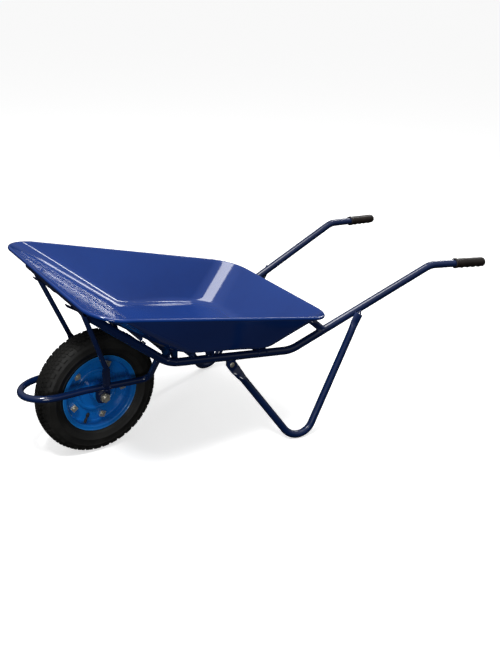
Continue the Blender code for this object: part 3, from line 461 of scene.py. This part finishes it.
# ---------------------------------------------------------------- welds
def weld(name, start, axis, radius, onto, along, onto_radius, seed):
    """A rippled bead where a round member meets a tube: onto is a point on the tube's axis."""
    rng = random.Random(seed)
    axis = axis.normalized()
    along = along.normalized()
    u, v = frame_for(axis)
    points = []
    steps = 44
    for k in range(steps):
        angle = 2 * math.pi * k / steps
        base = start + u * (math.cos(angle) * radius) + v * (math.sin(angle) * radius)
        rel = base - onto
        flat_d = axis - along * axis.dot(along)
        flat_r = rel - along * rel.dot(along)
        a, b, c = flat_d.dot(flat_d), 2 * flat_d.dot(flat_r), flat_r.dot(flat_r) - onto_radius ** 2
        root = b * b - 4 * a * c
        t = (-b - math.sqrt(root)) / (2 * a) if root > 0 else -b / (2 * a)
        points.append(base + axis * t)
    middle = sum(points, Vector()) / steps
    bm = bmesh.new()
    rings = []
    for k in range(steps):
        tangent = (points[(k + 1) % steps] - points[k - 1]).normalized()
        out = (points[k] - middle)
        out = (out - tangent * out.dot(tangent)).normalized()
        up = tangent.cross(out)
        r = 0.0021 * (1.0 + 0.22 * math.sin(k * 2.6) + rng.uniform(-0.12, 0.12))
        rings.append([bm.verts.new(points[k] + out * (math.cos(t) * r) + up * (math.sin(t) * r))
                      for t in (2 * math.pi * j / 10 for j in range(10))])
    for k in range(steps):
        bridge(bm, rings[k], rings[(k + 1) % steps])
    return framework(name, bm, sharp=80.0)


def seam(name, a, b, seed, size=0.0022):
    """A straight rippled bead from a to b."""
    rng = random.Random(seed)
    steps = max(6, int((b - a).length / 0.0022))
    path = [a.lerp(b, k / steps) for k in range(steps + 1)]
    sizes = []
    for k in range(steps + 1):
        taper = 0.5 if k in (0, steps) else 1.0
        r = size * (1.0 + 0.22 * math.sin(k * 2.4) + rng.uniform(-0.12, 0.12)) * taper
        sizes.append((r, r))
    u, _ = frame_for((b - a).normalized())
    return framework(name, sweep(path, sizes, u, 10), sharp=80.0)


# ---------------------------------------------------------------- tray
def make_tray():
    def corners(front, rear):
        return [at(front[0], -front[1], front[2]), at(rear[0], -rear[1], rear[2]),
                at(rear[0], rear[1], rear[2]), at(front[0], front[1], front[2])]
    fold = rounded_ring(corners(FLOOR_FRONT, FLOOR_REAR), FLOOR_CORNER_R)
    rim = rounded_ring(corners(RIM_FRONT, RIM_REAR), RIM_CORNER_R)

    def filled(ring, other):
        """Extra points along the straight sides, at the same shares of both rings."""
        out = []
        per = len(ring) // 4
        for i, p in enumerate(ring):
            out.append(p)
            if i % per == per - 1:
                q = ring[(i + 1) % len(ring)]
                out += [p.lerp(q, k / 8) for k in range(1, 8)]
        return out
    fold, rim = filled(fold, rim), filled(rim, fold)
    count = len(fold)
    outs, walls = [], []
    for i in range(count):
        ahead = rim[(i + 1) % count] - rim[i - 1]
        outs.append(Vector((ahead.y, -ahead.x, 0)).normalized())
        walls.append((rim[i] - fold[i]).normalized())
    middle = sum(fold, Vector()) / count
    if (rim[0] - middle).dot(outs[0]) < 0:
        outs = [-o for o in outs]
    bm = bmesh.new()
    rings = []
    inner = []
    for i in range(count):
        inward = middle - fold[i]
        flat = (inward - FLOOR_UP * inward.dot(FLOOR_UP)).normalized()
        inner.append(fold[i] + flat * FOLD)
    # floor: rings closing in to a middle panel
    for share in (0.45, 0.2, 0.06):
        rings.append([bm.verts.new(inner[i].lerp(middle, share)) for i in range(count)])
    bm.faces.new(rings[0])
    for k in range(13):
        s = k / 12
        rings.append([bm.verts.new(inner[i] * (1 - s) ** 2 + fold[i] * (2 * s * (1 - s))
                                   + (fold[i] + walls[i] * FOLD) * s ** 2) for i in range(count)])
    # walls: very slightly crowned, as a pressed pan springs back
    steps = 10
    for k in range(1, steps):
        s = k / steps
        ring = []
        for i in range(count):
            low = fold[i] + walls[i] * FOLD
            p = low.lerp(rim[i], s)
            ring.append(bm.verts.new(p - outs[i] * (0.0009 * math.sin(math.pi * s))))
        rings.append(ring)
    # rolled rim: up the inside, over the top and under
    steps = 22
    for k in range(steps + 1):
        ring = []
        for i in range(count):
            out = outs[i]
            lift = math.atan2(walls[i].z, walls[i].dot(out))
            start = math.pi / 2 + lift
            angle = start + (math.radians(-150) - start) * k / steps
            centre = rim[i] - (out * math.cos(start) + Z * math.sin(start)) * BEAD_R
            ring.append(bm.verts.new(centre
                                     + (out * math.cos(angle) + Z * math.sin(angle)) * BEAD_R))
        rings.append(ring)
    for one, two in zip(rings[:-1], rings[1:]):
        bridge(bm, one, two)
    bmesh.ops.recalc_face_normals(bm, faces=bm.faces)
    floor = max(bm.faces, key=lambda f: f.calc_area())
    if floor.normal.z < 0:
        bmesh.ops.reverse_faces(bm, faces=bm.faces)
    mesh = bpy.data.meshes.new("v_tray")
    bm.to_mesh(mesh)
    bm.free()
    mesh.shade_smooth()
    mesh.materials.append(TRAY)
    obj = bpy.data.objects.new("v_tray", mesh)
    bpy.context.collection.objects.link(obj)
    mod = obj.modifiers.new("sheet", "SOLIDIFY")
    mod.thickness = SHEET
    mod.offset = -1.0
    mod.use_even_offset = True
    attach(obj, "frame")
    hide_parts("tray")
    return obj


# ---------------------------------------------------------------- frame pieces
def make_frame():
    path, sizes = main_path()
    for side, word in SIDES:
        pts = mirrored(path) if side < 0 else path
        framework("v_main_tube_" + word, sweep(pts, sizes, Y, 32, TUBE_WALL),
                  "main_tube_" + word)
    ends = [at(NOSE_AXIS.x, y, NOSE_AXIS.z) for y in (-NOSE_TUBE_HALF, NOSE_TUBE_HALF)]
    framework("v_nose_tube", sweep(ends, [(NOSE_TUBE_R, NOSE_TUBE_R)] * 2, X, 28, TUBE_WALL),
              "nose_tube")
    for node in ("upper_cross_rod", "cross_rod", "mid_cross_tube"):
        lo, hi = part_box(node)
        r = min(hi.x - lo.x, hi.z - lo.z) / 2
        a = Vector(((lo.x + hi.x) / 2, lo.y, (lo.z + hi.z) / 2))
        b = Vector((a.x, hi.y, a.z))
        wall = TUBE_WALL if "tube" in node else 0.0
        framework("v_" + node, sweep([a, b], [(r, r)] * 2, X, 24, wall), node)
        for side, word in SIDES:
            x = a.x - AXLE_X
            if node == "upper_cross_rod":
                z = FRONT_A.z + (x - FRONT_A.x) * RUN.z / RUN.x
                up = -WALL_OUT
            else:
                low_x, low_z = TUBE_LINE[2]
                z = FRONT_B.z + (x - FRONT_B.x) * (low_z - FRONT_B.z) / (low_x - FRONT_B.x)
                up = Z
            touch = at(x, side * tube_y(x), z) + up * TUBE_R
            seam("weld_" + node + "_" + word + "_a", touch + Vector((-r * 0.55, -0.010, 0.001)),
                 touch + Vector((-r * 0.55, 0.010, 0.001)), 5)
            seam("weld_" + node + "_" + word + "_b", touch + Vector((r * 0.55, -0.010, 0.001)),
                 touch + Vector((r * 0.55, 0.010, 0.001)), 6)
    for node in ("front_cross_channel", "rear_cross_channel"):
        softened(node, 0.0007, FRAME, "frame", "frame_enamel")

    # rear tray support
    radius = SUPPORT_R
    back = Vector(RIM_REAR) - Vector(FLOOR_REAR)
    back.y = 0
    back.normalize()
    out = Vector((back.z, 0, -back.x))
    rail = Vector((FLOOR_REAR[0], 0, FLOOR_REAR[2])) + back * SUPPORT_RISE
    rail += out * (SHEET + 2 * GAP + radius)
    foot_x = SUPPORT_FOOT_X
    foot_z = TUBE_LINE[2][1] + (foot_x - TUBE_LINE[2][0]) * REAR_SLOPE
    pts = [at(foot_x, -tube_y(foot_x), foot_z), at(rail.x, -SUPPORT_HALF, rail.z),
           at(rail.x, SUPPORT_HALF, rail.z), at(foot_x, tube_y(foot_x), foot_z)]
    line = rounded(pts, [0, SUPPORT_BEND, SUPPORT_BEND, 0], 14)
    framework("v_rear_tray_support",
              sweep(line, [(radius, radius)] * len(line), X, 28, TUBE_WALL), "rear_tray_support")
    low_line = (tube_point(*TUBE_LINE[3]) - tube_point(*TUBE_LINE[2])).normalized()
    for side, word in SIDES:
        m = Vector((1, side, 1))
        a = line[-2] * m
        b = line[-1] * m
        weld("weld_support_" + word, a, b - a, radius, b, low_line * m, TUBE_R, 11 + side)

    # wheel guard, stays and brackets
    path = guard_path()
    framework("v_wheel_guard",
              sweep(path, [(GUARD_R, GUARD_R)] * len(path), X, 28, TUBE_WALL), "wheel_guard")
    run = (tube_point(0.1, 0) - tube_point(0.0, 0))
    run.z = (RUN.z / RUN.x) * 0.1
    for side, word in SIDES:
        m = Vector((1, side, 1))
        weld("weld_guard_" + word, path[1] * m, (path[0] - path[1]) * m, GUARD_R,
             path[0] * m, run * m, TUBE_R, 21 + side)
        stay = [p * m for p in stay_path()]
        last = len(stay) - 1
        sizes = []
        for i in range(last + 1):
            spread = max(0.0, 1.0 - i / (last - 1.0)) if i < last else 0.0
            spread = spread * spread * (3 - 2 * spread)
            sizes.append((STAY_R + 0.0048 * spread, STAY_R - 0.0022 * spread))
        framework("v_stay_" + word, sweep(stay, sizes, X, 24), "stay_" + word)
        weld("weld_stay_top_" + word, stay[-2], stay[-1] - stay[-2], STAY_R,
             stay[-1], Y, NOSE_TUBE_R, 31 + side)
        arm = at(0.05, side * GUARD_Y, guard_z(0.05)) - at(0.0, side * GUARD_Y, guard_z(0.0))
        foot = at(0.0, side * GUARD_Y, guard_z(0.0))
        weld("weld_stay_low_" + word, stay[1], stay[0] - stay[1], STAY_R + 0.003,
             foot, arm, GUARD_R, 41 + side)
        softened("axle_bracket_" + word, 0.0006, FRAME, "frame", "frame_enamel")
        y = side * (BRACKET_OUT + 0.0004)
        seam("weld_bracket_" + word, at(-0.024, y, guard_z(-0.02) - GUARD_R * 0.72),
             at(0.018, y, guard_z(0.018) - GUARD_R * 0.72), 51 + side)

    # legs and their lugs
    path, sizes, across = leg_path()
    for side, word in SIDES:
        m = Vector((1, side, 1))
        pts = [p * m for p in path]
        flat_way = Vector((across.x, across.y * side, across.z))
        framework("v_leg_" + word, sweep(pts, sizes, flat_way, 30, TUBE_WALL), "leg_" + word)
        softened("leg_lug_" + word, 0.0005, FRAME, "frame", "frame_enamel")
        lug_lo, lug_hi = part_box("leg_lug_" + word)
        for k, y in ((0, lug_lo.y), (1, lug_hi.y)):
            seam("weld_lug_%s_%d" % (word, k), Vector((lug_lo.x + 0.002, y, lug_hi.z - 0.0025)),
                 Vector((lug_hi.x - 0.002, y, lug_hi.z - 0.0040)), 61 + k)
        # the leg's pressed top is welded along both its edges to the main tube
        top, low = pts[-1], pts[-9]
        tube_dir = (low_line * m)
        for k, (share, off) in enumerate(((0.12, 0.0128), (0.12, -0.0128))):
            centre = top.lerp(low, share)
            start = centre + Vector((off, -side * 0.0050, off * 0.39))
            seam("weld_leg_%s_%d" % (word, k), start + Vector((0, 0, 0.007)),
                 start - Vector((0, 0, 0.008)), 71 + k, 0.0024)
        seam("weld_leg_top_" + word, top + Vector((-0.012, -side * 0.0052, -0.0035)),
             top + Vector((0.012, -side * 0.0052, 0.0055)), 73, 0.0024)


# ---------------------------------------------------------------- grips
def make_grip(side, word):
    end = tube_point(*TUBE_LINE[-1])
    back = (end - tube_point(*TUBE_LINE[-2])).normalized()
    start = end - back * (GRIP_LENGTH - 0.007)
    if side < 0:
        end, start = mirrored([end, start])
        back = Vector((back.x, -back.y, back.z))
    up = (Z - back * Z.dot(back)).normalized()
    across = back.cross(up)
    length = GRIP_LENGTH
    bore = TUBE_R + GAP
    sides, steps = 64, 150
    bm = bmesh.new()
    rings = []

    def radius(along, angle):
        under = max(0.0, -math.sin(angle)) ** 0.8
        r = GRIP_R - 0.0004
        if along < 0.0075:
            r = GRIP_R + 0.0010 - 0.0008 * (max(0.0, 0.0016 - along) / 0.0016) ** 2
        elif along < 0.0120:
            t = (along - 0.0075) / 0.0045
            r = GRIP_R + 0.0010 - 0.0024 * t * t * (3 - 2 * t)
        elif along < 0.020:
            t = (along - 0.0120) / 0.008
            r = GRIP_R - 0.0014 + 0.0010 * t * t * (3 - 2 * t)
        if 0.018 < along < length - 0.014:
            t = (along - 0.018) / (length - 0.032)
            r += 0.0011 * under * -math.cos(2 * math.pi * 4 * t) * min(1.0, 8 * t, 8 * (1 - t))
            # fine ribs moulded round the upper half
            r += 0.00022 * (1 - under) * math.cos(2 * math.pi * along / 0.0034)
        tail = length - 0.013
        if along > tail:
            t = (along - tail) / 0.013
            r *= math.sqrt(max(0.0, 1 - t ** 2.6))
        return r

    for j in range(steps + 1):
        t = j / steps
        along = length * (t if t < 0.9 else 0.9 + 0.1 * math.sin((t - 0.9) * 5 * math.pi))
        along = min(along, length - 0.00002)
        rings.append([bm.verts.new(start + back * along
                                   + (across * math.cos(a) + up * math.sin(a))
                                   * max(0.0004, radius(along, a)))
                      for a in (2 * math.pi * k / sides for k in range(sides))])
    for one, two in zip(rings[:-1], rings[1:]):
        bridge(bm, one, two)
    bm.faces.new(rings[-1])
    mouth = [bm.verts.new(start + (across * math.cos(a) + up * math.sin(a)) * bore)
             for a in (2 * math.pi * k / sides for k in range(sides))]
    deep = [bm.verts.new(start + back * (length - 0.0065)
                         + (across * math.cos(a) + up * math.sin(a)) * bore)
            for a in (2 * math.pi * k / sides for k in range(sides))]
    bridge(bm, rings[0], mouth)
    bridge(bm, mouth, deep)
    bm.faces.new(deep)
    make("v_grip_" + word, bm, GRIP, "frame", "grip", "grip_" + word, sharp=60.0)


# ---------------------------------------------------------------- wheel
def crown(y):
    """Radius of the tyre's tread surface at a distance from its middle."""
    pts = [(0.0, TYRE_R), (0.42, TYRE_R - 0.0012), (0.74, TYRE_R - 0.0055),
           (0.93, TYRE_R - 0.0145)]
    share = abs(y) / TYRE_HALF_W
    for (a, ra), (b, rb) in zip(pts[:-1], pts[1:]):
        if share <= b:
            t = (share - a) / (b - a)
            return ra + (rb - ra) * t
    return pts[-1][1]


def make_tyre():
    r, w = TYRE_R, TYRE_HALF_W
    deep = 0.0030
    tread = [(crown(w * k / 10) - deep, w * k / 10) for k in range(0, 9)]
    side = [(r - 0.0180, w * 0.925), (r - 0.0235, w * 0.965), (r - 0.0250, w * 0.985),
            (r - 0.0262, w * 0.970),
            (r - 0.032, w * 0.995), (r - 0.040, w * 0.985), (r - 0.0412, w * 1.0),
            (r - 0.0424, w * 0.975),
            (r - 0.050, w * 0.935), (0.1215, w * 0.865), (0.1205, w * 0.880), (0.1193, w * 0.852),
            (FLANGE_R + 0.0018, FLANGE_Y - 0.0018), (FLANGE_R - 0.0035, FLANGE_Y - 0.0032),
            (0.1034, FLANGE_Y - 0.0038), (0.1014, FLANGE_Y - 0.0060)]
    inside = [(0.1014, FLANGE_Y - 0.0130), (FLANGE_R + 0.002, FLANGE_Y - 0.0085),
              (r - 0.047, w * 0.83), (r - 0.032, w * 0.86), (r - 0.0165, w * 0.62),
              (r - 0.011, 0.0)]
    half = tread + side + inside
    other = [(a, -b) for a, b in reversed(half[1:-1])]
    bm = turned(half + other, 144, CENTRE)
    u, v = frame_for(Vector((0, 1, 0)))
    pitches = 84

    def block(y_mid, half_w, angle, half_a, skew, base):
        low, high = [], []
        for sy, sa in ((-1, -1), (-1, 1), (1, 1), (1, -1)):
            for shrink, drop, ring in ((1.0, base, low), (0.86, 0.0, high)):
                y = y_mid + sy * half_w * shrink
                a = angle + sa * half_a * shrink + skew * sy
                rad = crown(y) - drop
                ring.append(bm.verts.new(CENTRE + Vector((0, y, 0))
                                         + (u * math.cos(a) + v * math.sin(a)) * rad))
        bridge(bm, low, high)
        bm.faces.new(high)
        bm.faces.new(low)
    rows = [(0.0, 0.0052, 0.0), (0.0128, 0.0050, 0.5), (0.0252, 0.0048, 0.0)]
    for k in range(pitches):
        step = 2 * math.pi / pitches
        for y_mid, half_w, shift in rows:
            for s in ((1,) if y_mid == 0 else (-1, 1)):
                block(s * y_mid, half_w, step * (k + shift), step * 0.34, 0.007 * s, deep + 0.0012)
        if k % 2 == 0:
            for s in (-1, 1):
                block(s * 0.0338, 0.0034, step * (k + 0.5), step * 0.62, 0.004 * s, deep + 0.0015)
    make("v_tyre", bm, TYRE, "wheel", "tyre", "tyre", sharp=32.0)


def make_rim(side, word):
    t = 0.0020
    mid = [(0.0250, 0.0013), (0.0380, 0.0013), (0.0500, 0.0013), (0.0522, 0.0028),
           (0.0545, 0.0055), (0.0600, 0.0055),
           (0.0628, 0.0030), (0.0650, 0.0013), (0.0780, 0.0013), (0.0925, 0.0013),
           (0.0950, 0.0021), (0.0968, 0.0042),
           (0.0978, 0.0085), (0.0984, 0.0120), (0.0986, 0.0160), (0.0992, FLANGE_Y - 0.0052),
           (0.1008, FLANGE_Y - 0.0018), (0.1035, FLANGE_Y - 0.0009),
           (FLANGE_R - 0.0035, FLANGE_Y - 0.0005),
           (FLANGE_R - 0.0010, FLANGE_Y + 0.0006), (FLANGE_R - 0.0006, FLANGE_Y + 0.0012)]
    line = smooth_line(mid, 4)
    left, right = [], []
    for i in range(len(line)):
        a, b = line[max(i - 1, 0)], line[min(i + 1, len(line) - 1)]
        dr, dy = b[0] - a[0], b[1] - a[1]
        size = math.hypot(dr, dy)
        nr, ny = -dy / size, dr / size
        left.append((line[i][0] + nr * t / 2, side * (line[i][1] + ny * t / 2)))
        right.append((line[i][0] - nr * t / 2, side * (line[i][1] - ny * t / 2)))
    make("v_rim_" + word, turned(left + list(reversed(right)), 144, CENTRE), WHEEL, "wheel",
         "rim_enamel",
         "rim_" + word, sharp=50.0)


def make_wheel():
    make_tyre()
    for side, word in SIDES:
        make_rim(side, word)
        outline = [(AXLE_R + GAP, 0.0287), (0.0172, 0.0287), (0.0172, 0.0392), (0.0168, 0.0395),
                   (0.0152, 0.0395),
                   (0.0149, 0.0390), (0.0148, 0.0386), (0.0112, 0.0386), (0.0111, 0.0390),
                   (0.0108, 0.0395),
                   (AXLE_R + GAP + 0.0004, 0.0395), (AXLE_R + GAP, 0.0392)]
        make("v_bearing_" + word, turned([(r, side * y) for r, y in outline], 72, CENTRE), BRIGHT,
             "wheel",
             "bearing_steel", "bearing_" + word)
        inner = BRACKET_IN - GAP
        outline = [(AXLE_R + GAP, 0.0398), (0.0113, 0.0398), (0.0118, 0.0403),
                   (0.0118, inner - 0.0005),
                   (0.0113, inner), (AXLE_R + GAP, inner)]
        make("v_axle_spacer_" + word, turned([(r, side * y) for r, y in outline], 64, CENTRE),
             PLATED, "frame",
             "plated", "axle_spacer_" + word)
        softened("axle_nut_" + word, 0.0011, PLATED, "frame", "plated", 3)
    end, seat, lip = 0.0400, 0.0175, 0.0120
    outline = [(0.0245, -end + 0.0008), (0.0245, -0.012), (0.0255, -0.004), (0.0255, 0.004),
               (0.0245, 0.012),
               (0.0245, end - 0.0008), (0.0237, end), (seat + 0.0008, end), (seat, end - 0.0008),
               (seat, end - lip),
               (0.0130, end - lip), (0.0130, -end + lip), (seat, -end + lip),
               (seat, -end + 0.0008),
               (seat + 0.0008, -end), (0.0237, -end)]
    make("v_hub", turned(outline, 96, CENTRE), WHEEL, "wheel", "rim_enamel", "hub")
    # axle with threaded ends
    outline = [(0.0002, -0.0735), (0.0066, -0.0735)]
    y = -0.0728
    while y < -0.0560:
        outline += [(AXLE_R - 0.0010, y), (AXLE_R - 0.00015, y + 0.0010)]
        y += 0.0020
    full = outline + [(r, -yy) for r, yy in reversed(outline)]
    make("v_axle", turned(full, 48, CENTRE), PLATED, "frame", "plated", "axle")
    # valve with its cap
    angle = math.radians(RIM_BOLT_START + 180.0)
    direction = Vector((math.cos(angle), 0, math.sin(angle)))
    root = CENTRE + Vector((0, VALVE_Y, 0))
    outline = [(0.0002, 0.0695), (0.0026, 0.0695), (0.0036, 0.0700), (0.0046, 0.0712),
               (0.0046, 0.0795), (0.0044, 0.0799),
               (0.0034, 0.0802), (0.0034, 0.0882), (0.0040, 0.0890), (VALVE_R, 0.0900),
               (VALVE_R, 0.1050), (0.0002, 0.1052)]
    make("v_valve_stem", turned(outline, 40, root, direction,
                                lambda j, a: 0.00022 * math.cos(12 * a) if 3 <= j <= 4 else 0.0),
         BUTYL, "wheel", "butyl", "valve_stem")
    for k in range(1, RIM_BOLTS + 1):
        softened("rim_nut_%d" % k, 0.0012, PLATED, "wheel", "plated", 3)
        softened("rim_bolt_%d" % k, 0.0007, PLATED, "wheel", "plated", 2)


def make_fasteners():
    for k in range(1, 5):
        softened("tray_stud_%d" % k, 0.0004, PLATED, "frame", "plated")
        softened("tray_nut_%d" % k, 0.0007, PLATED, "frame", "plated")
    for word in ("left", "right"):
        softened("nose_screw_" + word, 0.0003, TRAY, "frame", "tray_enamel")
        softened("leg_bolt_" + word, 0.0004, PLATED, "frame", "plated")
        softened("leg_nut_" + word, 0.0007, PLATED, "frame", "plated")


# ---------------------------------------------------------------- stage, light and camera
def make_stage():
    bm = bmesh.new()
    size = FLOOR_HALF_SIZE
    corners = ((-1, -1), (1, -1), (1, 1), (-1, 1))
    bm.faces.new([bm.verts.new((x * size, y * size, 0.0)) for x, y in corners])
    mesh = bpy.data.meshes.new("floor")
    bm.to_mesh(mesh)
    bm.free()
    mat, _, shader = nodes_of("floor_white")
    shader.inputs["Base Color"].default_value = (0.86, 0.86, 0.86, 1)
    shader.inputs["Roughness"].default_value = 0.9
    shader.inputs["Specular IOR Level"].default_value = 0.0
    shader.inputs["Emission Color"].default_value = (1, 1, 1, 1)
    shader.inputs["Emission Strength"].default_value = 0.62
    mesh.materials.append(mat)
    floor = bpy.data.objects.new("floor", mesh)
    bpy.context.collection.objects.link(floor)
    floor.visible_glossy = False
    floor.visible_diffuse = False


def make_light():
    world = bpy.data.worlds.new("studio")
    bpy.context.scene.world = world
    world.use_nodes = True
    tree = world.node_tree
    back = tree.nodes["Background"]
    where = tree.nodes.new("ShaderNodeTexCoord")
    split = tree.nodes.new("ShaderNodeSeparateXYZ")
    link(tree, where, "Generated", split, "Vector")
    sky = ramp(tree, split, "Z", [(0.0, grey(0.020)), (0.06, grey(0.030)), (0.22, grey(0.16)),
                                  (0.60, grey(0.30)), (1.0, grey(0.60))])
    link(tree, sky, "Color", back, "Color")
    back.inputs["Strength"].default_value = 1.0

    def area(name, place, aim, size, size_y, power):
        data = bpy.data.lights.new(name, "AREA")
        data.shape = "RECTANGLE"
        data.size, data.size_y = size, size_y
        data.energy = power
        lamp = bpy.data.objects.new(name, data)
        bpy.context.collection.objects.link(lamp)
        lamp.location = place
        lamp.rotation_mode = "QUATERNION"
        lamp.rotation_quaternion = (Vector(aim) - Vector(place)).to_track_quat("-Z", "Y")

    heart = Vector((-0.05, 0.0, 0.35))
    area("key", heart + Vector((-0.60, -0.42, 1.00)).normalized() * 3.2, heart, 0.40, 0.40, 46.0)
    area("top", heart + Vector((0.20, 0.15, 3.0)), heart, 1.5, 1.5, 46.0)
    # a tall soft box to the rear and far side, mirrored by the far rear corner and front wall
    area("strip", heart + Vector((2.6, 1.2, 1.5)), heart, 0.18, 2.6, 20.0)
    # a small soft light low on the near side, aimed at the wheel
    area("card", (AXLE_X - 0.9, -1.9, 0.55), CENTRE, 0.5, 0.5, 9.0)


def make_camera():
    a, e, r = math.radians(-34.55), math.radians(12.04), math.radians(-2.125)
    fwd = Vector((-math.sin(a) * math.cos(e), math.cos(a) * math.cos(e), -math.sin(e)))
    right = fwd.cross(Z).normalized()
    down = fwd.cross(right)
    level = right
    right = level * math.cos(r) + down * math.sin(r)
    down = down * math.cos(r) - level * math.sin(r)
    data = bpy.data.cameras.new("camera")
    data.sensor_fit = "AUTO"
    data.sensor_width = 36.0
    data.lens = 48.51
    data.shift_x = -0.00962
    data.shift_y = -0.27710
    data.clip_end = 500.0
    cam = bpy.data.objects.new("camera", data)
    bpy.context.collection.objects.link(cam)
    turn = Matrix((right, -down, -fwd)).transposed().to_4x4()
    cam.matrix_world = Matrix.Translation((AXLE_X - 0.9673, -2.1671, 1.3973)) @ turn
    bpy.context.scene.camera = cam


make_camera()
make_stage()
make_light()
make_tray()
make_frame()
for grip_side, grip_word in SIDES:
    make_grip(grip_side, grip_word)
make_wheel()
make_fasteners()
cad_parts["inner_tube"].data.materials.clear()
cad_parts["inner_tube"].data.materials.append(BUTYL)
bpy.context.scene.view_settings.view_transform = "Standard"
